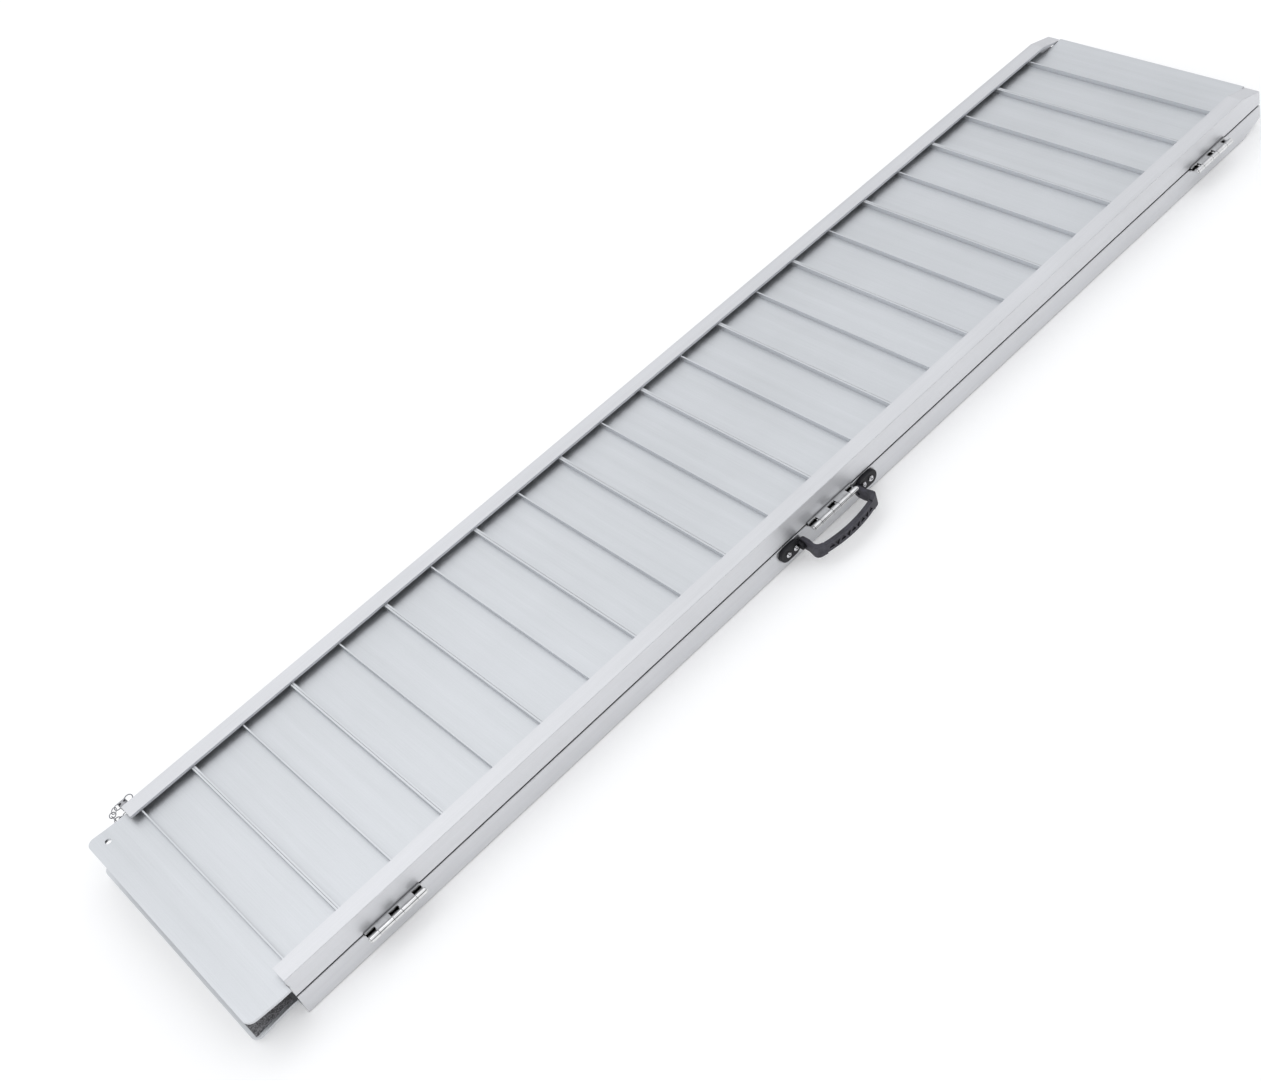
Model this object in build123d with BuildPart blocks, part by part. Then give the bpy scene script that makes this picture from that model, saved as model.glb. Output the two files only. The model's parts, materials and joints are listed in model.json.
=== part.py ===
"""Portable wheelchair ramp: two aluminium panels hinged along one long side, folded shut.

X runs along the ramp from the lip (-X) to the ground end (+X), Y runs across it from the hinge
side (-Y) to the open side (+Y), and Z is up. All sizes are in millimetres. The lower panel lies
with its underside on the floor; the upper panel is folded over it, running surface down.
"""
import os
from math import cos, radians, sin, tan

from build123d import *

os.makedirs("parts", exist_ok=True)

# ---- overall sizes ----
LENGTH = 1525.0          # lip tip to ground end
PANEL_WIDTH = 309.0      # over the two rails of one panel
RAIL_HEIGHT = 27.0       # one panel, underside to seam face
SEAM_GAP = 2.0           # between the two folded panels
HANDLE_REACH = 38.0      # how far the grip stands out from the hinge rail
PIN_REACH = 13.0         # how far the safety pin stands out from the outer rail

# ---- rails: a channel with its open side inwards ----
RAIL_WALL = 3.0
GROUND_FLANGE = 20.0     # wide flange on the underside
SEAM_FLANGE = 14.0       # narrow flange at the seam, the kerb of the open ramp
FLANGE_THICK = 3.0
CHAMFER_LENGTH = 34.0    # the underside is cut away at the ground end
CHAMFER_RISE = 9.5
RAIL_ROUND = 1.0

# ---- deck planks ----
PLANKS = 12
PLANK_GAP = 0.3
DECK_UNDER = 9.0         # plate underside above the underside of the panel
DECK_THICK = 3.0
EDGE_RIB = 2.0
MID_RIB = 1.5
GRIT_THICK = 0.8
GRIT_MARGIN = 6.0
GRIT_BORDER = 3.0        # bare strip between the grit and the kerb

# ---- lip at the landing end ----
LIP_REACH = 51.0
LIP_CLEAR = 0.5
LIP_CORNER = 9.0
LIP_EDGE = 3.5           # bare border round the grit on the lip
LOWER_LIP_INSET = 10.0   # the lower lip stops short of the hinge side
UPPER_LIP_INSET = -4.5   # the upper lip stands out past it
LIP_OPEN_INSET = 2.5     # both lips stop short of the open side
UPPER_LIP_SHORT = 3.5    # the upper lip ends before the lower one
LIP_BENDS = ((0.0, 0.0), (12.0, 4.5), (26.0, 6.0), (43.0, 3.0))   # distance out, slope in degrees
GROUND_BENDS = ((0.0, 1.0), (27.0, 2.5))
GROUND_BEND_START = 38.6  # distance of the first bend from the ground end
FIXING_HOLE_RADIUS = 3.5
FIXING_HOLE_FROM_TIP = 20.8
FIXING_HOLE_FROM_SIDE = 18.5

# ---- hinges ----
HINGE_CENTRES = (-600.0, -4.5, 656.0)
HINGE_LENGTH = 66.0
BARREL_OUT = 10.0        # axis in front of the rail faces
BARREL_RADIUS = 3.2
HINGE_PIN_RADIUS = 1.6
HINGE_FIT = 0.05         # radial play of the pin in the upper leaf
HINGE_HEAD_RADIUS = 2.4
HINGE_HEAD_THICK = 1.2
HINGE_HEAD_TAPER = 20.0
LOWER_KNUCKLE = 10.6
KNUCKLE_CLEAR = 0.4
LEAF_THICK = 1.6
LEAF_CLEAR = 2.0         # between the faces of the two leaves
LEAF_LAND = 13.0         # width of leaf that lies on the rail
LEAF_SLOT = 4.0          # see-through slot between a knuckle and the rail
RECESS_CLEAR = 0.4
LEAF_RIVET_PITCH = 24.0
LEAF_RIVET_IN = 8.0
RIVET_RADIUS = 2.0
RIVET_HEAD = 3.4
RIVET_HEAD_THICK = 1.1
RIVET_TAIL = 2.8
RIVET_TAIL_THICK = 1.2

# ---- handle ----
HANDLE_X = -9.9
HANDLE_Z = 18.0
PAD_INNER = 45.0         # from the middle of the handle to the inner end of a pad
PAD_OUTER = 73.5
PAD_HEIGHT = 18.0
PAD_THICK = 4.5
PAD_ROUND = 1.2
HANDLE_RIVETS = (52.5, 63.5)
PAN_HEAD_RADIUS = 3.3
PAN_HEAD_THICK = 1.9
PAN_DIMPLE_RADIUS = 1.1
PAN_DIMPLE_DEPTH = 1.0
PIVOT_OUT = 8.5          # swing axis of the grip in front of the rail
LUG_RADIUS = 4.0
LUG_LENGTH = 3.5
NIB_RADIUS = 2.0
NIB_LENGTH = 4.2
NIB_FIT = 0.05
GRIP_CLEAR = 0.4
GRIP_THICK = 4.5         # strap of the legs and shoulders
GRIP_HEIGHT = 14.0
CROWN_HALF = 36.0        # half width of the thicker hand grip between the shoulders
CROWN_THICK = 6.5
CROWN_HEIGHT = 11.0
CROWN_SHOULDER = 30.3    # reach of the hand grip at its two ends
CROWN_ROUND = 2.0
LEG_CLEAR = 1.0          # end of a leg to the rail face
LEG_STRAIGHT = 15.0      # the legs lean outwards beyond this reach
GRIP_HALF = 45.5         # half width of the arch
GRIP_SHOULDER = 28.0     # reach of the arch at its two shoulders
GRIP_BEND = 6.5          # rounding of the shoulders
TREAD_COUNT = 9          # triangular pockets along the grip
TREAD_PITCH = 7.4
TREAD_RADIUS = 4.0       # from the middle of a pocket to its corners
TREAD_DEPTH = 1.4

# ---- safety pin on its chain ----
PIN_FROM_END = 4.0       # from the near end of the rail
PIN_FROM_FLANGE = 3.0
PIN_RADIUS = 2.5
PIN_FIT = 0.05
PIN_SHANK = 7.5
PIN_POINT = 0.75         # chamfer at the tip
PIN_HEAD_RADIUS = 4.6
PIN_HEAD_THICK = 3.0
PIN_SEAT = 0.3           # head to rail face
TAB_THICK = 2.4
TAB_WIDTH = 9.6
TAB_REACH = 12.2         # from the rail face
EYE_RADIUS = 1.3
EYE_SPREAD = 2.6         # eyes on either side of the pin axis
RING_RADIUS = 4.5
RING_WIRE = 0.6
LINKS = 7
LINK_RADIUS = 3.5
LINK_WIRE = 0.5
TETHER_SAG = 10.4        # how far the chain bows out from the line between its ends
ANCHOR_DROP = 15.5       # anchor eye below the pin axis
ANCHOR_SHIFT = 1.0
ANCHOR_DISC = 3.0
ANCHOR_DISC_THICK = 1.0
ANCHOR_TAB = 5.6
ANCHOR_TAB_THICK = 1.6

# ---- places worked out from the sizes ----
TIP_X = -LENGTH / 2
END_X = LENGTH / 2
RAIL_X = TIP_X + LIP_REACH
LIP_X = RAIL_X - LIP_CLEAR
CHAMFER_X = END_X - CHAMFER_LENGTH
PITCH = LENGTH / PLANKS
FRONT_Y = HANDLE_REACH - (PANEL_WIDTH + HANDLE_REACH + PIN_REACH) / 2
BACK_Y = FRONT_Y + PANEL_WIDTH
AXIS_Y = FRONT_Y - BARREL_OUT
AXIS_Z = RAIL_HEIGHT + SEAM_GAP / 2
DECK_TOP = DECK_UNDER + DECK_THICK
LEAF_FLOOR = AXIS_Z - LEAF_CLEAR / 2 - LEAF_THICK
PIN_X = RAIL_X + PIN_FROM_END
PIN_Z = 2 * AXIS_Z - FLANGE_THICK - PIN_FROM_FLANGE
EYE_OUT = PIN_REACH - LINK_RADIUS - LINK_WIRE    # eyes in front of the rail face
SEAM = Plane.XY.offset(AXIS_Z)


def across(y):
    """Upright plane at the given Y whose sketch axes are X and Z."""
    return Plane.XZ.offset(-y)


def save(builder, name):
    """Write one sub-part under its own name."""
    builder.part.label = name
    export_step(builder.part, f"parts/{name}.step")


def fold_over(piece):
    """The same piece on the upper panel."""
    with BuildPart() as upper:
        mirror(piece, about=SEAM)
    return upper


def bent(start_x, direction, reach, bends, start_z):
    """Points of an edge that leaves level and drops in short straight bends."""
    points = [(start_x, start_z)]
    stations = [station for station, _ in bends] + [reach]
    for (station, slope), end in zip(bends, stations[1:]):
        x, z = points[-1]
        points.append((start_x + direction * end, z - (end - station) * tan(radians(slope))))
    return points


def strip(points, thickness):
    """Close an edge into a strip of constant upright thickness."""
    top = [(x, z + thickness) for x, z in reversed(points)]
    return points + top


# ---- rails ----
def rail(outer_y, inward):
    """One channel rail; inward is +1 on the hinge side and -1 on the open side."""
    with BuildPart() as channel:
        with BuildSketch(across(outer_y)):
            with BuildLine():
                Polyline((RAIL_X, 0), (CHAMFER_X, 0), (END_X, CHAMFER_RISE),
                         (END_X, RAIL_HEIGHT), (RAIL_X, RAIL_HEIGHT), close=True)
            make_face()
        extrude(amount=-inward * RAIL_WALL)
        with BuildSketch(across(outer_y)):
            with BuildLine():
                Polyline(*strip([(RAIL_X, 0), (CHAMFER_X, 0), (END_X, CHAMFER_RISE)],
                                FLANGE_THICK), close=True)
            make_face()
        extrude(amount=-inward * GROUND_FLANGE)
        with BuildSketch(across(outer_y)):
            with Locations(((RAIL_X + END_X) / 2, RAIL_HEIGHT - FLANGE_THICK / 2)):
                Rectangle(END_X - RAIL_X, FLANGE_THICK)
        extrude(amount=-inward * SEAM_FLANGE)
        outer_face = channel.faces().sort_by(Axis.Y)[0 if inward > 0 else -1]
        upright = outer_face.edges().filter_by(Axis.Z)
        fillet(outer_face.edges() - upright, RAIL_ROUND)
    return channel


def hinge_rail():
    """Rail on the hinge side, sunk for the leaves and drilled for their rivets."""
    with BuildPart() as drilled:
        add(rail(FRONT_Y, 1).part)
        with BuildSketch(Plane.XY.offset(LEAF_FLOOR)):
            with Locations(*[(x, FRONT_Y + LEAF_LAND / 2) for x in HINGE_CENTRES]):
                Rectangle(HINGE_LENGTH + 2 * RECESS_CLEAR, LEAF_LAND + 2 * RECESS_CLEAR)
        extrude(amount=SEAM_GAP + RAIL_HEIGHT - LEAF_FLOOR, mode=Mode.SUBTRACT)
        with BuildSketch(Plane.XY.offset(RAIL_HEIGHT)):
            with Locations(*leaf_rivet_places()):
                Circle(RIVET_RADIUS)
        extrude(amount=-2 * FLANGE_THICK, mode=Mode.SUBTRACT)
    return drilled


def lower_hinge_rail():
    """The lower hinge rail is also drilled for the handle."""
    with BuildPart() as drilled:
        add(hinge_rail().part)
        with BuildSketch(across(FRONT_Y)):
            with Locations(*handle_rivet_places()):
                Circle(RIVET_RADIUS)
        extrude(amount=-2 * RAIL_WALL, mode=Mode.SUBTRACT)
    return drilled


def upper_outer_rail():
    """The upper outer rail is drilled for the safety pin and the chain anchor."""
    with BuildPart() as drilled:
        mirror(rail(BACK_Y, -1).part, about=SEAM)
        with BuildSketch(across(BACK_Y)):
            with Locations((PIN_X, PIN_Z)):
                Circle(PIN_RADIUS + PIN_FIT)
            with Locations((PIN_X - ANCHOR_SHIFT, PIN_Z - ANCHOR_DROP)):
                Circle(RIVET_RADIUS)
        extrude(amount=2 * RAIL_WALL, mode=Mode.SUBTRACT)
    return drilled


# ---- planks ----
def rib(x, width):
    """One rib under the deck plate, standing on the rails' flanges."""
    with Locations((x, (FLANGE_THICK + DECK_UNDER) / 2)):
        Rectangle(width, DECK_UNDER - FLANGE_THICK)


def ground_notches():
    """Plan of the two corners cut out where the rails' flanges rise at the ground end."""
    with Locations((CHAMFER_X, FRONT_Y), (CHAMFER_X, BACK_Y - GROUND_FLANGE - PLANK_GAP)):
        Rectangle(CHAMFER_LENGTH + PLANK_GAP, GROUND_FLANGE + PLANK_GAP,
                  align=(Align.MIN, Align.MIN))


def plank_between(start, end, plate, ribs, far_notch=False):
    """A plank that reaches from wall to wall, with a plate outline and a list of ribs."""
    with BuildPart() as plank:
        with BuildSketch(across(FRONT_Y + RAIL_WALL)):
            with BuildLine():
                Polyline(*strip(plate, DECK_THICK), close=True)
            make_face()
            for x, width in ribs:
                rib(x, width)
        extrude(amount=-(PANEL_WIDTH - 2 * RAIL_WALL))
        if far_notch:
            with BuildSketch(Plane.XY):
                ground_notches()
            extrude(amount=RAIL_HEIGHT, mode=Mode.SUBTRACT)
    return plank


def plank_span(index):
    """Near and far end of a plank, less half a joint at each end."""
    start = TIP_X + index * PITCH + PLANK_GAP / 2
    return start, start + PITCH - PLANK_GAP


def middle_plank(index):
    start, end = plank_span(index)
    ribs = [(start + EDGE_RIB / 2, EDGE_RIB), ((start + end) / 2, MID_RIB), (end - EDGE_RIB / 2, EDGE_RIB)]
    return plank_between(start, end, [(start, DECK_UNDER), (end, DECK_UNDER)], ribs)


def lip_edge(height, short=0.0):
    """Edge of the lip from the rails to its tip, at a height above the panel's underside."""
    return bent(LIP_X, -1, LIP_X - TIP_X - short, LIP_BENDS, height)


def ground_edge(height):
    """Edge of the last plank from its first bend to the ground end."""
    return bent(END_X - GROUND_BEND_START, 1, GROUND_BEND_START, GROUND_BENDS, height)


def fixing_hole():
    """Plane square to the lip, at the middle of the fixing hole."""
    x = TIP_X + FIXING_HOLE_FROM_TIP
    passed = [slope for station, slope in LIP_BENDS if station <= LIP_X - x]
    slope = passed[-1]
    bend_x, bend_z = lip_edge(DECK_UNDER + DECK_THICK / 2)[len(passed) - 1]
    z = bend_z - (bend_x - x) * tan(radians(slope))
    return Plane(origin=(x, BACK_Y - FIXING_HOLE_FROM_SIDE, z),
                 z_dir=(-sin(radians(slope)), 0, cos(radians(slope))))


def lip_plank(inset, short):
    """First plank: its plate runs out past the rails as the bent lip, with a fixing hole."""
    _, end = plank_span(0)
    middle = TIP_X + PITCH / 2
    inner = plank_between(LIP_X, end, [(LIP_X, DECK_UNDER), (end, DECK_UNDER)],
                          [(middle, MID_RIB), (end - EDGE_RIB / 2, EDGE_RIB)])
    with BuildPart() as plank:
        add(inner.part)
        with BuildSketch(across(FRONT_Y + inset)):
            with BuildLine():
                Polyline(*strip(lip_edge(DECK_UNDER, short), DECK_THICK), close=True)
            make_face()
        extrude(amount=-(PANEL_WIDTH - inset - LIP_OPEN_INSET))
        with BuildSketch(fixing_hole()):
            Circle(FIXING_HOLE_RADIUS)
        extrude(amount=DECK_THICK, both=True, mode=Mode.SUBTRACT)
        fillet(plank.edges().filter_by(Axis.Z).group_by(Axis.X)[0], LIP_CORNER)
    return plank


def ground_plank():
    """Last plank: its end is bent down to the ground between the cut-away flanges."""
    start, _ = plank_span(PLANKS - 1)
    middle = END_X - PITCH / 2
    plate = [(start, DECK_UNDER)] + ground_edge(DECK_UNDER)
    ribs = [(start + EDGE_RIB / 2, EDGE_RIB), (middle, MID_RIB)]
    return plank_between(start, END_X, plate, ribs, far_notch=True)


def grit(inset, short):
    """Strips of anti-slip grit, one on each plank and one on the lip."""
    near_y = FRONT_Y + SEAM_FLANGE + GRIT_BORDER
    width = PANEL_WIDTH - 2 * (SEAM_FLANGE + GRIT_BORDER)
    with BuildPart() as strips:
        for index in range(PLANKS):
            start, end = plank_span(index)
            edge = [(max(start, RAIL_X) + GRIT_MARGIN, DECK_TOP), (end - GRIT_MARGIN, DECK_TOP)]
            if index == PLANKS - 1:
                edge = [edge[0]] + ground_edge(DECK_TOP)
            with BuildSketch(across(near_y)):
                with BuildLine():
                    Polyline(*strip(edge, GRIT_THICK), close=True)
                make_face()
            extrude(amount=-width)
        with BuildSketch(across(FRONT_Y + inset + LIP_EDGE)):
            with BuildLine():
                Polyline(*strip(lip_edge(DECK_TOP, short), GRIT_THICK), close=True)
            make_face()
        extrude(amount=-(PANEL_WIDTH - inset - LIP_OPEN_INSET - 2 * LIP_EDGE))
        with BuildSketch(Plane.XY):
            ground_notches()
            with Locations((TIP_X + short, FRONT_Y + inset)):
                Rectangle(LIP_EDGE, PANEL_WIDTH, align=(Align.MIN, Align.MIN))
            with Locations((LIP_X - LIP_EDGE, FRONT_Y)):
                Rectangle(LIP_EDGE, PANEL_WIDTH, align=(Align.MIN, Align.MIN))
            with Locations((TIP_X + FIXING_HOLE_FROM_TIP, BACK_Y - FIXING_HOLE_FROM_SIDE)):
                Circle(FIXING_HOLE_RADIUS + LIP_EDGE)
            with Locations((END_X - LIP_EDGE, FRONT_Y)):
                Rectangle(LIP_EDGE, PANEL_WIDTH, align=(Align.MIN, Align.MIN))
        extrude(amount=RAIL_HEIGHT, mode=Mode.SUBTRACT)
    return strips


# ---- hinges ----
def leaf_rivet_places():
    """Plan positions of the leaf rivets along the hinge rail."""
    steps = (-LEAF_RIVET_PITCH, 0.0, LEAF_RIVET_PITCH)
    return [(x + step, FRONT_Y + LEAF_RIVET_IN) for x in HINGE_CENTRES for step in steps]


def spun(outline):
    """A fastener turned from its half outline about an upright axis."""
    with BuildPart() as turned:
        with BuildSketch(Plane.XZ):
            with BuildLine():
                Polyline(*outline, close=True)
            make_face()
        revolve(axis=Axis.Z)
    return turned.part


def leaf_rivet():
    """Countersunk rivet, flush with the face of the leaf and spread under the rail's flange."""
    grip_end = -(LEAF_FLOOR + LEAF_THICK - (RAIL_HEIGHT - FLANGE_THICK))
    tail_end = grip_end - RIVET_TAIL_THICK
    return spun([(0, 0), (RIVET_HEAD, 0), (RIVET_RADIUS, -RIVET_HEAD_THICK), (RIVET_RADIUS, grip_end),
                 (RIVET_TAIL, grip_end), (RIVET_TAIL, tail_end), (0, tail_end)])


def leaf_rivets():
    with BuildPart() as rivets:
        with Locations(*[(x, y, LEAF_FLOOR + LEAF_THICK) for x, y in leaf_rivet_places()]):
            add(leaf_rivet())
    return rivets


def knuckle_spans(centre):
    """X spans of the three lower and the two upper knuckles of a hinge."""
    upper = (HINGE_LENGTH - 3 * LOWER_KNUCKLE) / 2
    lengths = (LOWER_KNUCKLE, upper, LOWER_KNUCKLE, upper, LOWER_KNUCKLE)
    spans = []
    start = centre - HINGE_LENGTH / 2
    for length in lengths:
        spans.append((start, start + length))
        start += length
    return spans[0::2], spans[1::2]


def leaf(centre, own, other, bore):
    """Lower leaf shape: a plate on the rail with a strap out to each of its knuckles."""
    with BuildPart() as plate:
        with BuildSketch(Plane.XY.offset(LEAF_FLOOR)):
            with Locations((centre, FRONT_Y - BARREL_OUT)):
                Rectangle(HINGE_LENGTH, LEAF_LAND + BARREL_OUT, align=(Align.CENTER, Align.MIN))
            slot_y = AXIS_Y + BARREL_RADIUS + LEAF_SLOT
            for start, end in other:
                with Locations(((start + end) / 2, AXIS_Y - BARREL_RADIUS)):
                    Rectangle(end - start + KNUCKLE_CLEAR, slot_y - AXIS_Y + BARREL_RADIUS,
                              align=(Align.CENTER, Align.MIN), mode=Mode.SUBTRACT)
        extrude(amount=LEAF_THICK)
        for start, end in own:
            with BuildSketch(Plane.YZ.offset(start + KNUCKLE_CLEAR / 2)):
                with Locations((AXIS_Y, AXIS_Z)):
                    Circle(BARREL_RADIUS)
            extrude(amount=end - start - KNUCKLE_CLEAR)
        with BuildSketch(Plane.YZ.offset(centre - HINGE_LENGTH)):
            with Locations((AXIS_Y, AXIS_Z)):
                Circle(bore)
        extrude(amount=2 * HINGE_LENGTH, mode=Mode.SUBTRACT)
        places = [p for p in leaf_rivet_places() if abs(p[0] - centre) < HINGE_LENGTH / 2]
        with Locations(*[(x, y, LEAF_FLOOR + LEAF_THICK) for x, y in places]):
            add(leaf_rivet(), mode=Mode.SUBTRACT)
    return plate


def hinge_pin(centre):
    """Pin through all five knuckles, headed at both ends."""
    with BuildPart() as pin:
        with BuildSketch(Plane.YZ.offset(centre - HINGE_LENGTH / 2)):
            with Locations((AXIS_Y, AXIS_Z)):
                Circle(HINGE_PIN_RADIUS)
        extrude(amount=HINGE_LENGTH)
        for side in (-1, 1):
            with BuildSketch(Plane.YZ.offset(centre + side * HINGE_LENGTH / 2)):
                with Locations((AXIS_Y, AXIS_Z)):
                    Circle(HINGE_HEAD_RADIUS)
            extrude(amount=side * HINGE_HEAD_THICK, taper=HINGE_HEAD_TAPER)
    return pin


# ---- handle ----
def handle_rivet_places():
    return [(HANDLE_X + side * x, HANDLE_Z) for side in (-1, 1) for x in HANDLE_RIVETS]


def handle_pad(side):
    """End pad on the rail, with a lug and a nib that the grip swings on."""
    with BuildPart() as pad:
        with BuildSketch(across(FRONT_Y)):
            with Locations((HANDLE_X + side * (PAD_INNER + PAD_OUTER) / 2, HANDLE_Z)):
                SlotOverall(PAD_OUTER - PAD_INNER, PAD_HEIGHT)
        extrude(amount=PAD_THICK)
        fillet(pad.faces().sort_by(Axis.Y)[0].edges(), PAD_ROUND)
        inner = HANDLE_X + side * PAD_INNER
        with BuildSketch(Plane.YZ.offset(inner)):
            with Locations((FRONT_Y - PIVOT_OUT, HANDLE_Z)):
                Circle(LUG_RADIUS)
                Rectangle(PIVOT_OUT, 2 * LUG_RADIUS, align=(Align.MIN, Align.CENTER))
        extrude(amount=side * LUG_LENGTH)
        with BuildSketch(Plane.YZ.offset(inner)):
            with Locations((FRONT_Y - PIVOT_OUT, HANDLE_Z)):
                Circle(NIB_RADIUS)
        extrude(amount=-side * NIB_LENGTH)
        with BuildSketch(across(FRONT_Y)):
            with Locations(*handle_rivet_places()):
                Circle(RIVET_RADIUS)
        extrude(amount=PAD_THICK, mode=Mode.SUBTRACT)
    return pad


def handle_rivets():
    """Four pan-head rivets through the pads and the rail's wall."""
    length = PAD_THICK + RAIL_WALL
    floor = PAN_HEAD_THICK - PAN_DIMPLE_DEPTH
    pan = spun([(0, floor), (PAN_DIMPLE_RADIUS, floor), (PAN_DIMPLE_RADIUS, PAN_HEAD_THICK),
                ((PAN_DIMPLE_RADIUS + PAN_HEAD_RADIUS) / 2, PAN_HEAD_THICK),
                (PAN_HEAD_RADIUS, PAN_HEAD_THICK / 2), (PAN_HEAD_RADIUS, 0), (RIVET_RADIUS, 0),
                (RIVET_RADIUS, -length), (0, -length)])
    with BuildPart() as rivets:
        for x, z in handle_rivet_places():
            with Locations(Plane(origin=(x, FRONT_Y - PAD_THICK, z), z_dir=(0, -1, 0))):
                add(pan)
    return rivets


def strap():
    """Rubber strap: two legs, rounded shoulders and an arch, thinned where the hand grip goes."""
    low = HANDLE_Z - GRIP_HEIGHT / 2
    leg = PAD_INNER - GRIP_CLEAR - GRIP_THICK / 2
    step = (GRIP_HEIGHT - CROWN_HEIGHT) / 2
    with BuildPart() as band:
        with BuildSketch(Plane.XY.offset(low)):
            with BuildLine():
                ThreePointArc((-GRIP_HALF, -GRIP_SHOULDER), (0, -HANDLE_REACH + GRIP_THICK / 2),
                              (GRIP_HALF, -GRIP_SHOULDER))
                for side in (-1, 1):
                    Polyline((side * leg, -LEG_CLEAR), (side * leg, -LEG_STRAIGHT),
                             (side * GRIP_HALF, -GRIP_SHOULDER))
            trace(line_width=GRIP_THICK)
        extrude(amount=GRIP_HEIGHT)
        upright = band.edges().filter_by(Axis.Z)
        fillet(upright.filter_by_position(Axis.Y, -HANDLE_REACH, -LEG_STRAIGHT - GRIP_CLEAR), GRIP_BEND)
        ends = band.edges().filter_by(Axis.X).group_by(Axis.Y)[-1]
        fillet(ends, GRIP_HEIGHT / 2 - GRIP_CLEAR)
        for z in (low, low + GRIP_HEIGHT - step):
            with BuildSketch(Plane.XY.offset(z)):
                with Locations((0, -HANDLE_REACH)):
                    Rectangle(2 * CROWN_HALF, HANDLE_REACH - LEG_STRAIGHT,
                              align=(Align.CENTER, Align.MIN))
            extrude(amount=step, mode=Mode.SUBTRACT)
        with BuildSketch(Plane.YZ.offset(-PAD_INNER)):
            with Locations((-PIVOT_OUT, HANDLE_Z)):
                Circle(NIB_RADIUS + NIB_FIT)
        extrude(amount=2 * PAD_INNER, mode=Mode.SUBTRACT)
    return band


def crown_arc(reach_out):
    """Arc along the hand grip; reach_out moves it out from the middle of the section."""
    return ThreePointArc((-CROWN_HALF, -CROWN_SHOULDER - reach_out),
                         (0, -HANDLE_REACH + CROWN_THICK / 2 - reach_out),
                         (CROWN_HALF, -CROWN_SHOULDER - reach_out))


def crown():
    """Rounded hand grip between the shoulders."""
    with BuildPart() as bar:
        with BuildSketch(Plane.XY.offset(HANDLE_Z - CROWN_HEIGHT / 2)):
            with BuildLine():
                crown_arc(0)
            trace(line_width=CROWN_THICK)
        extrude(amount=CROWN_HEIGHT)
        fillet(bar.edges().filter_by(GeomType.CIRCLE), CROWN_ROUND)
    return bar


def tread():
    """Triangular pockets along the outside of the hand grip, every second one upside down."""
    with BuildPart() as pockets:
        with BuildSketch(Plane.XY.offset(HANDLE_Z - CROWN_HEIGHT / 2)):
            with BuildLine():
                crown_arc(CROWN_THICK / 2)
            trace(line_width=2 * TREAD_DEPTH)
        extrude(amount=CROWN_HEIGHT)
        with BuildSketch(across(0)):
            for index in range(TREAD_COUNT):
                flip = 180 if index % 2 else 0
                with Locations(((index - (TREAD_COUNT - 1) / 2) * TREAD_PITCH, HANDLE_Z)):
                    RegularPolygon(TREAD_RADIUS, 3, rotation=90 + flip)
        extrude(amount=2 * HANDLE_REACH, mode=Mode.INTERSECT)
    return pockets


def grip():
    """The rubber grip in its place on the hinge rail."""
    with BuildPart() as finished:
        with Locations((HANDLE_X, FRONT_Y, 0)):
            add(strap().part)
            add(crown().part)
            add(tread().part, mode=Mode.SUBTRACT)
    return finished


# ---- safety pin and its chain ----
def safety_pin():
    """Pin with a round head and a flat tab that has an eye for the ring and one for the chain."""
    with BuildPart() as pin:
        with BuildSketch(across(BACK_Y + PIN_SEAT)):
            with Locations((PIN_X, PIN_Z)):
                Circle(PIN_RADIUS)
        extrude(amount=PIN_SHANK + PIN_SEAT)
        chamfer(pin.edges().sort_by(Axis.Y)[0], PIN_POINT)
        with BuildSketch(across(BACK_Y + PIN_SEAT)):
            with Locations((PIN_X, PIN_Z)):
                Circle(PIN_HEAD_RADIUS)
        extrude(amount=-PIN_HEAD_THICK)
        with BuildSketch(across(BACK_Y + PIN_SEAT + PIN_HEAD_THICK)):
            with Locations((PIN_X, PIN_Z)):
                Rectangle(TAB_WIDTH, TAB_THICK)
        extrude(amount=-(TAB_REACH - PIN_SEAT - PIN_HEAD_THICK))
        with BuildSketch(Plane.XY.offset(PIN_Z)):
            with Locations(*[(PIN_X + side * EYE_SPREAD, BACK_Y + EYE_OUT) for side in (-1, 1)]):
                Circle(EYE_RADIUS)
        extrude(amount=TAB_THICK, both=True, mode=Mode.SUBTRACT)
    return pin


def split_ring():
    with BuildPart() as ring:
        centre = (PIN_X + EYE_SPREAD + RING_RADIUS, BACK_Y + EYE_OUT, PIN_Z)
        with Locations(Plane(origin=centre, z_dir=(0, 1, 0))):
            Torus(RING_RADIUS, RING_WIRE)
    return ring


def tether_line():
    """Arc on which the links' centres lie, from the pin's near eye to the anchor's eye."""
    first = Vector(PIN_X - EYE_SPREAD - LINK_RADIUS, BACK_Y + EYE_OUT, PIN_Z)
    last = Vector(PIN_X - ANCHOR_SHIFT - LINK_RADIUS, BACK_Y + EYE_OUT, PIN_Z - ANCHOR_DROP)
    chord = last - first
    out = Vector(chord.Z, 0, -chord.X).normalized()
    return ThreePointArc(first, (first + last) * 0.5 + out * TETHER_SAG, last)


def tether_link(index):
    """One round link; every second link is turned across the line of the chain."""
    line = tether_line()
    place = index / (LINKS - 1)
    flat = Vector(0, 1, 0)
    turned = (line % place).cross(flat)
    with BuildPart() as link:
        with Locations(Plane(origin=line @ place, z_dir=turned if index % 2 else flat)):
            Torus(LINK_RADIUS, LINK_WIRE)
    return link


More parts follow.
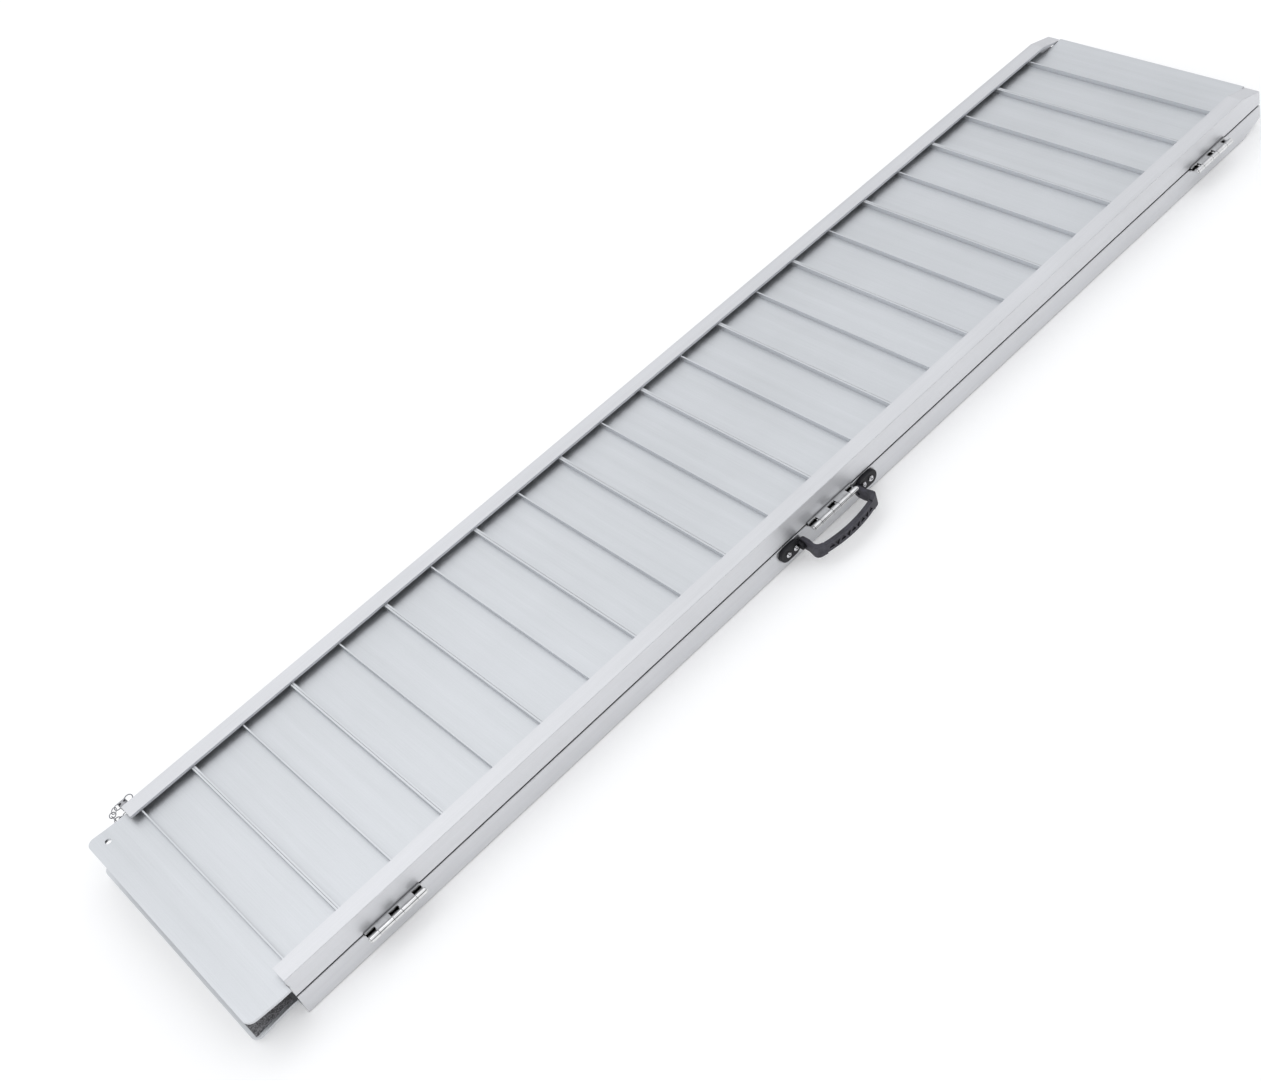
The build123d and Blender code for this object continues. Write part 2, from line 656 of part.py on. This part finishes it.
def chain_anchor():
    """Riveted disc with a level tab that holds the last link."""
    x, z = PIN_X - ANCHOR_SHIFT, PIN_Z - ANCHOR_DROP
    with BuildPart() as anchor:
        with BuildSketch(across(BACK_Y)):
            with Locations((x, z)):
                Circle(ANCHOR_DISC)
        extrude(amount=-ANCHOR_DISC_THICK)
        with BuildSketch(across(BACK_Y)):
            with Locations((x, z)):
                Circle(RIVET_RADIUS)
        extrude(amount=RAIL_WALL)
        with BuildSketch(Plane.XY.offset(z - ANCHOR_TAB_THICK / 2)):
            with Locations((x, BACK_Y)):
                Rectangle(ANCHOR_TAB, EYE_OUT, align=(Align.CENTER, Align.MIN))
            with Locations((x, BACK_Y + EYE_OUT)):
                Circle(ANCHOR_TAB / 2)
                Circle(EYE_RADIUS, mode=Mode.SUBTRACT)
        extrude(amount=ANCHOR_TAB_THICK)
    return anchor


# ---- build and write every piece ----
save(rail(BACK_Y, -1), "lower_outer_rail")
save(lower_hinge_rail(), "lower_hinge_rail")
save(upper_outer_rail(), "upper_outer_rail")
save(fold_over(hinge_rail().part), "upper_hinge_rail")

save(lip_plank(LOWER_LIP_INSET, 0.0), "lower_lip_plank")
save(fold_over(lip_plank(UPPER_LIP_INSET, UPPER_LIP_SHORT).part), "upper_lip_plank")
for number in range(1, PLANKS - 1):
    plank = middle_plank(number)
    save(plank, f"lower_plank_{number + 1:02d}")
    save(fold_over(plank.part), f"upper_plank_{number + 1:02d}")
save(ground_plank(), "lower_ground_plank")
save(fold_over(ground_plank().part), "upper_ground_plank")
save(grit(LOWER_LIP_INSET, 0.0), "lower_grit_strips")
save(fold_over(grit(UPPER_LIP_INSET, UPPER_LIP_SHORT).part), "upper_grit_strips")

for label, centre in zip(("near", "middle", "far"), HINGE_CENTRES):
    low_spans, high_spans = knuckle_spans(centre)
    save(leaf(centre, low_spans, high_spans, HINGE_PIN_RADIUS), f"{label}_hinge_lower_leaf")
    upper_leaf = leaf(centre, high_spans, low_spans, HINGE_PIN_RADIUS + HINGE_FIT)
    save(fold_over(upper_leaf.part), f"{label}_hinge_upper_leaf")
    save(hinge_pin(centre), f"{label}_hinge_pin")
save(leaf_rivets(), "lower_leaf_rivets")
save(fold_over(leaf_rivets().part), "upper_leaf_rivets")

save(handle_pad(-1), "near_handle_pad")
save(handle_pad(1), "far_handle_pad")
save(handle_rivets(), "handle_rivets")
save(grip(), "handle_grip")

save(safety_pin(), "safety_pin")
save(split_ring(), "split_ring")
save(chain_anchor(), "chain_anchor")
for index in range(LINKS):
    save(tether_link(index), f"chain_link_{index + 1}")
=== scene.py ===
"""Finishes, floor, lights and camera for a folded aluminium wheelchair ramp, in metres."""
import json
from math import cos, radians, sin

import bmesh
import bpy
from mathutils import Matrix, Vector


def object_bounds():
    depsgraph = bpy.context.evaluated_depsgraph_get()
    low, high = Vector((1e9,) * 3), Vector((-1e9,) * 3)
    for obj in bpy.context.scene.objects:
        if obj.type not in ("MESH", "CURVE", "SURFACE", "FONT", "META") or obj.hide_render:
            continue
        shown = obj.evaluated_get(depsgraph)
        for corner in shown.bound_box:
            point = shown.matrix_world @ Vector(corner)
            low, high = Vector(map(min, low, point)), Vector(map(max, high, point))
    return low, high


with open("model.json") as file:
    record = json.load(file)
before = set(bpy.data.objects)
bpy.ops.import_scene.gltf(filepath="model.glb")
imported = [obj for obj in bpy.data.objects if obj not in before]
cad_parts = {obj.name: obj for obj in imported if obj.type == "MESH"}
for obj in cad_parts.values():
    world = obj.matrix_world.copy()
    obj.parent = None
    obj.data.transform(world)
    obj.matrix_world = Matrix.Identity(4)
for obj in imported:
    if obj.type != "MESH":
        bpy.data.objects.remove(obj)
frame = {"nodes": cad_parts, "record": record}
cad_low, cad_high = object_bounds()

# ---- repeats of each pattern in a metre ----
DIE_LINES = 1400.0
BROAD_LINES = 90.0
CLOUDS = 7.0
SPECKLES = 900.0
GRAINS = 900.0
GRIT_PATCHES = 25.0
DRAWN_LINES = 2500.0
SMEARS = 120.0
PEBBLES = 1800.0
DUST = 140.0
DIE_STRETCH = 0.012      # die lines and drawn lines are this much coarser along their length
DRAW_STRETCH = 0.03

# ---- depths and reaches, in metres ----
DIE_DEPTH = 0.00006
GRAIN_DEPTH = 0.0005
DRAWN_DEPTH = 0.00001
PEBBLE_DEPTH = 0.00012
# reaches of the painted shade in gaps, corners and hollows
ALUMINIUM_SHADE_REACH = 0.003
STEEL_SHADE_REACH = 0.005
RUBBER_SHADE_REACH = 0.003

# ---- painted shade tints for gaps and hollows ----
STEEL_SHADE_TINT = (0.02, 0.02, 0.022)
RUBBER_SHADE_TINT = (0.004, 0.004, 0.005)

# ---- floor and lights, in metres and watts ----
FLOOR_HALF = 15.0
FLOOR_GAP = 0.0005       # keeps the floor clear of the ramp's underside
FLOOR_WHITE = (0.8, 0.8, 0.8, 1.0)
FLOOR_GLOW = 0.22
KEY_PLACE = (-0.5, 1.2, 3.3)
KEY_TARGET = (0.0, -0.1, 0.05)
KEY_WIDTH = 2.4
KEY_DEPTH = 2.0
KEY_POWER = 9.0
CARD_PLACE = (0.0, -2.4, 0.85)
CARD_WIDTH = 5.0
CARD_HEIGHT = 0.9
CARD_BLACK = (0.01, 0.01, 0.01, 1.0)
ROOM_TINT = (0.97, 0.98, 1.0, 1.0)
ROOM_DIM = 0.77
ROOM_BRIGHT = 1.15
ROOM_LEAN = (-0.25, 0.0, 1.0)    # the room is brighter this way

# ---- camera, in metres and degrees ----
CAMERA_PLACE = (-0.7546, -1.1667, 1.2742)
CAMERA_HEADING = 61.26
CAMERA_TILT = 43.49
CAMERA_ROLL = 20.99
CAMERA_SENSOR = 36.0
CAMERA_LENS = 49.0468
CAMERA_SHIFT = (-0.0282, -0.0102)
CAMERA_FAR = 100.0


# ---- finishes ----
class Finish:
    """One surface finish and its nodes."""

    def __init__(self, name, **shader):
        self.material = bpy.data.materials.new(name)
        self.material.use_nodes = True
        self.tree = self.material.node_tree
        self.tree.nodes.clear()
        output = self.tree.nodes.new("ShaderNodeOutputMaterial")
        self.surface = self.add("ShaderNodeBsdfPrincipled", **shader)
        self.join(self.surface.outputs["BSDF"], output.inputs["Surface"])
        self.place = self.add("ShaderNodeTexCoord").outputs["Object"]

    def add(self, kind, settings=None, **values):
        """A node with its input sockets set by name."""
        node = self.tree.nodes.new(kind)
        for key, value in (settings or {}).items():
            setattr(node, key, value)
        for key, value in values.items():
            socket = node.inputs[key.replace("_", " ")]
            if hasattr(value, "is_output"):
                self.join(value, socket)
            else:
                socket.default_value = value
        return node

    def join(self, source, target):
        self.tree.links.new(source, target)

    def stretched(self, scale):
        """The place on the ramp, drawn out so that a pattern runs along one way."""
        return self.add("ShaderNodeMapping", Vector=self.place, Scale=scale).outputs["Vector"]

    def noise(self, at, scale, detail=2.0, roughness=0.5):
        return self.add("ShaderNodeTexNoise", Vector=at, Scale=scale, Detail=detail,
                        Roughness=roughness).outputs["Fac"]

    def between(self, value, low, high, start=0.3, end=0.7):
        """A value carried from the range start-end to the range low-high."""
        return self.add("ShaderNodeMapRange", Value=value, From_Min=start, From_Max=end,
                        To_Min=low, To_Max=high).outputs["Result"]

    def sum(self, *values):
        total = values[0]
        for value in values[1:]:
            node = self.add("ShaderNodeMath", {"operation": "ADD"})
            self.join(total, node.inputs[0])
            self.join(value, node.inputs[1])
            total = node.outputs[0]
        return total

    def tone(self, value, dark, light, start=0.0, end=1.0):
        """A colour between two tones."""
        ramp = self.add("ShaderNodeValToRGB", Fac=value)
        ramp.color_ramp.elements[0].position = start
        ramp.color_ramp.elements[0].color = (*dark, 1.0)
        ramp.color_ramp.elements[1].position = end
        ramp.color_ramp.elements[1].color = (*light, 1.0)
        return ramp.outputs["Color"]

    def painted_shade(self, reach, start=0.35, end=0.9):
        """Painted shade mask: from 1 in gaps and corners narrower than a reach in metres to 0 in the
        open.
        """
        gap = self.add("ShaderNodeAmbientOcclusion", {"samples": 8}, Distance=reach).outputs["AO"]
        return self.between(gap, 1.0, 0.0, start, end)

    def darken(self, colour, amount, tint):
        """Carry a colour towards a darker tint."""
        node = self.add("ShaderNodeMix", {"data_type": "RGBA"})
        self.join(amount, node.inputs[0])
        self.join(colour, node.inputs[6])
        node.inputs[7].default_value = (*tint, 1.0)
        return node.outputs[2]

    def relief(self, height, depth, strength=1.0):
        """Raise the surface by a pattern, up to a depth in metres."""
        bump = self.add("ShaderNodeBump", Height=height, Distance=depth, Strength=strength)
        self.join(bump.outputs["Normal"], self.surface.inputs["Normal"])


def extruded_aluminium(name, along, dark, light, gloss, gap_shade_tint):
    """Mill-finish extrusion: die lines along one axis, faint cloudiness, scuffs and painted shade in
    corners and gaps.
    """
    finish = Finish(name, Metallic=0.92)
    lines = finish.stretched(tuple(DIE_STRETCH if axis == along else 1.0 for axis in "XYZ"))
    fine = finish.noise(lines, DIE_LINES, 3.0, 0.6)
    broad = finish.noise(lines, BROAD_LINES, 2.0)
    cloud = finish.noise(finish.place, CLOUDS, 3.0, 0.6)
    speckle = finish.noise(finish.place, SPECKLES, 2.0, 0.7)
    shade = finish.sum(finish.between(fine, 0.0, 0.25), finish.between(broad, 0.0, 0.3),
                       finish.between(cloud, 0.0, 0.3), finish.between(speckle, 0.0, 0.15))
    # painted shade: the colour is carried towards a dark tint in gaps and corners
    colour = finish.darken(finish.tone(shade, dark, light), finish.painted_shade(ALUMINIUM_SHADE_REACH), gap_shade_tint)
    finish.join(colour, finish.surface.inputs["Base Color"])
    dull = finish.sum(finish.between(broad, gloss * 0.45, gloss * 0.6),
                      finish.between(cloud, gloss * 0.4, gloss * 0.55))
    finish.join(dull, finish.surface.inputs["Roughness"])
    finish.relief(finish.sum(fine, finish.between(speckle, 0.0, 0.4)), DIE_DEPTH)
    return finish.material


def grit_coating():
    """Mineral grains set in dark resin."""
    finish = Finish("anti_slip_grit", Roughness=0.85, Specular_IOR_Level=0.35)
    grains = finish.add("ShaderNodeTexVoronoi", Vector=finish.place, Scale=GRAINS)
    patches = finish.noise(finish.place, GRIT_PATCHES, 4.0, 0.6)
    cell = finish.add("ShaderNodeSeparateColor", Color=grains.outputs["Color"]).outputs["Red"]
    shade = finish.sum(finish.between(cell, 0.0, 0.8, 0.0, 1.0), finish.between(patches, 0.0, 0.2))
    finish.join(finish.tone(shade, (0.03, 0.03, 0.034), (0.3, 0.3, 0.31)),
                finish.surface.inputs["Base Color"])
    finish.relief(finish.sum(grains.outputs["Distance"], patches), GRAIN_DEPTH)
    return finish.material


def bright_steel(name, dark, light, gloss, along="X"):
    """Bright steel with fine drawn lines and painted shade in its gaps."""
    finish = Finish(name, Metallic=1.0)
    lines = finish.stretched(tuple(DRAW_STRETCH if axis == along else 1.0 for axis in "XYZ"))
    fine = finish.noise(lines, DRAWN_LINES, 2.0)
    smear = finish.noise(finish.place, SMEARS, 3.0)
    # painted shade: the colour is carried towards a dark tint in gaps and corners
    colour = finish.darken(finish.tone(smear, dark, light, 0.3, 0.7), finish.painted_shade(STEEL_SHADE_REACH),
                           STEEL_SHADE_TINT)
    finish.join(colour, finish.surface.inputs["Base Color"])
    finish.join(finish.sum(finish.between(smear, gloss * 0.5, gloss * 0.8),
                           finish.between(fine, 0.0, gloss * 0.5)), finish.surface.inputs["Roughness"])
    finish.relief(fine, DRAWN_DEPTH)
    return finish.material


def moulded_rubber(name, dark, light, gloss):
    """Moulded rubber with a fine pebble, a trace of dust and painted shade in its hollows."""
    finish = Finish(name, Specular_IOR_Level=0.3)
    pebble = finish.noise(finish.place, PEBBLES, 2.0, 0.6)
    dust = finish.noise(finish.place, DUST, 5.0, 0.7)
    # painted shade: the colour is carried towards a dark tint in hollows and gaps
    colour = finish.darken(finish.tone(dust, dark, light, 0.35, 0.7), finish.painted_shade(RUBBER_SHADE_REACH),
                           RUBBER_SHADE_TINT)
    finish.join(colour, finish.surface.inputs["Base Color"])
    finish.join(finish.between(dust, gloss * 0.85, gloss * 1.2), finish.surface.inputs["Roughness"])
    finish.relief(pebble, PEBBLE_DEPTH)
    return finish.material


FINISHES = {
    # the last tint of each aluminium is the painted shade in its gaps and corners
    "rail_aluminium": extruded_aluminium(
        "rail_aluminium", "X", dark=(0.625, 0.63, 0.645), light=(0.755, 0.76, 0.78), gloss=0.46,
        gap_shade_tint=(0.22, 0.22, 0.23)),
    "deck_aluminium": extruded_aluminium(
        "deck_aluminium", "Y", dark=(0.585, 0.602, 0.617), light=(0.71, 0.725, 0.748), gloss=0.46,
        gap_shade_tint=(0.54, 0.55, 0.57)),
    "grit": grit_coating(),
    "rivet_metal": bright_steel(
        "rivet_metal", dark=(0.62, 0.62, 0.64), light=(0.82, 0.82, 0.84), gloss=0.25),
    "hinge_steel": bright_steel(
        "hinge_steel", dark=(0.66, 0.66, 0.66), light=(0.86, 0.86, 0.86), gloss=0.12),
    "handle_rubber": moulded_rubber(
        "pad_rubber", dark=(0.006, 0.006, 0.008), light=(0.016, 0.016, 0.02), gloss=0.45),
    "pin_steel": bright_steel(
        "pin_steel", dark=(0.3, 0.3, 0.31), light=(0.5, 0.5, 0.52), gloss=0.25),
}
GRIP_FINISH = moulded_rubber(
    "grip_rubber", dark=(0.03, 0.029, 0.036), light=(0.07, 0.068, 0.084), gloss=0.5)

for part in frame["record"]["subparts"]:
    node = frame["nodes"][part["node"]]
    node.data.materials.clear()
    node.data.materials.append(FINISHES[part["material_slot"]])
frame["nodes"]["handle_grip"].data.materials[0] = GRIP_FINISH


# ---- floor, light and camera ----
def floor():
    """A wide pale floor at the ramp's underside."""
    mesh = bpy.data.meshes.new("floor")
    shape = bmesh.new()
    bmesh.ops.create_grid(shape, x_segments=1, y_segments=1, size=FLOOR_HALF)
    shape.to_mesh(mesh)
    shape.free()
    piece = bpy.data.objects.new("floor", mesh)
    piece.location.z = cad_low.z - FLOOR_GAP
    bpy.context.scene.collection.objects.link(piece)
    paint = Finish("floor_paint", Roughness=0.9, Specular_IOR_Level=0.1, Base_Color=FLOOR_WHITE,
                   Emission_Color=(1.0, 1.0, 1.0, 1.0), Emission_Strength=FLOOR_GLOW)
    mesh.materials.append(paint.material)


def softbox(name, place, target, width, depth, power):
    """A large rectangular light aimed at a point."""
    lamp = bpy.data.lights.new(name, "AREA")
    lamp.shape = "RECTANGLE"
    lamp.size = width
    lamp.size_y = depth
    lamp.energy = power
    piece = bpy.data.objects.new(name, lamp)
    piece.location = place
    piece.rotation_euler = (Vector(target) - Vector(place)).to_track_quat("-Z", "Y").to_euler()
    bpy.context.scene.collection.objects.link(piece)


def dark_card(place, width, height):
    """An upright black card, seen only in reflections, that gives bright metal its dark lines."""
    mesh = bpy.data.meshes.new("dark_card")
    shape = bmesh.new()
    bmesh.ops.create_grid(shape, x_segments=1, y_segments=1, size=0.5)
    bmesh.ops.scale(shape, vec=(width, height, 1.0), verts=shape.verts)
    bmesh.ops.rotate(shape, matrix=Matrix.Rotation(radians(90.0), 3, "X"), verts=shape.verts)
    bmesh.ops.translate(shape, vec=place, verts=shape.verts)
    shape.to_mesh(mesh)
    shape.free()
    piece = bpy.data.objects.new("dark_card", mesh)
    bpy.context.scene.collection.objects.link(piece)
    paint = Finish("dark_card_cloth", Roughness=1.0, Specular_IOR_Level=0.0, Base_Color=CARD_BLACK)
    mesh.materials.append(paint.material)
    piece.visible_camera = False
    piece.visible_diffuse = False
    piece.visible_shadow = False


def room(dim, bright, towards):
    """Soft light from all round, brighter from one direction."""
    world = bpy.data.worlds.new("room")
    world.use_nodes = True
    nodes, links = world.node_tree.nodes, world.node_tree.links
    sky = nodes["Background"]
    sky.inputs["Color"].default_value = ROOM_TINT
    lean = nodes.new("ShaderNodeVectorMath")
    lean.operation = "DOT_PRODUCT"
    lean.inputs[1].default_value = Vector(towards).normalized()
    level = nodes.new("ShaderNodeMapRange")
    level.inputs["From Min"].default_value = 0.0
    level.inputs["To Min"].default_value = dim
    level.inputs["To Max"].default_value = bright
    links.new(nodes.new("ShaderNodeTexCoord").outputs["Generated"], lean.inputs[0])
    links.new(lean.outputs["Value"], level.inputs["Value"])
    links.new(level.outputs["Result"], sky.inputs["Strength"])
    bpy.context.scene.world = world


def camera(place, heading, tilt, roll, lens, shift):
    """Camera from its place, its heading from +X, its downward tilt and its roll, in degrees."""
    data = bpy.data.cameras.new("camera")
    data.sensor_width = CAMERA_SENSOR
    data.sensor_fit = "HORIZONTAL"
    data.lens = lens
    data.shift_x, data.shift_y = shift
    data.clip_end = CAMERA_FAR
    heading, tilt, roll = (radians(angle) for angle in (heading, tilt, roll))
    ahead = Vector((cos(tilt) * cos(heading), cos(tilt) * sin(heading), -sin(tilt)))
    right = Vector((sin(heading), -cos(heading), 0.0))
    down = ahead.cross(right)
    side = right * cos(roll) + down * sin(roll)
    top = right * sin(roll) - down * cos(roll)
    piece = bpy.data.objects.new("camera", data)
    piece.matrix_world = Matrix.Translation(place) @ Matrix((side, top, -ahead)).transposed().to_4x4()
    bpy.context.scene.collection.objects.link(piece)
    bpy.context.scene.camera = piece


floor()
softbox("key_light", KEY_PLACE, KEY_TARGET, KEY_WIDTH, KEY_DEPTH, KEY_POWER)
dark_card(CARD_PLACE, CARD_WIDTH, CARD_HEIGHT)
room(ROOM_DIM, ROOM_BRIGHT, ROOM_LEAN)
camera(CAMERA_PLACE, CAMERA_HEADING, CAMERA_TILT, CAMERA_ROLL, CAMERA_LENS, CAMERA_SHIFT)
bpy.context.scene.view_settings.view_transform = "Standard"
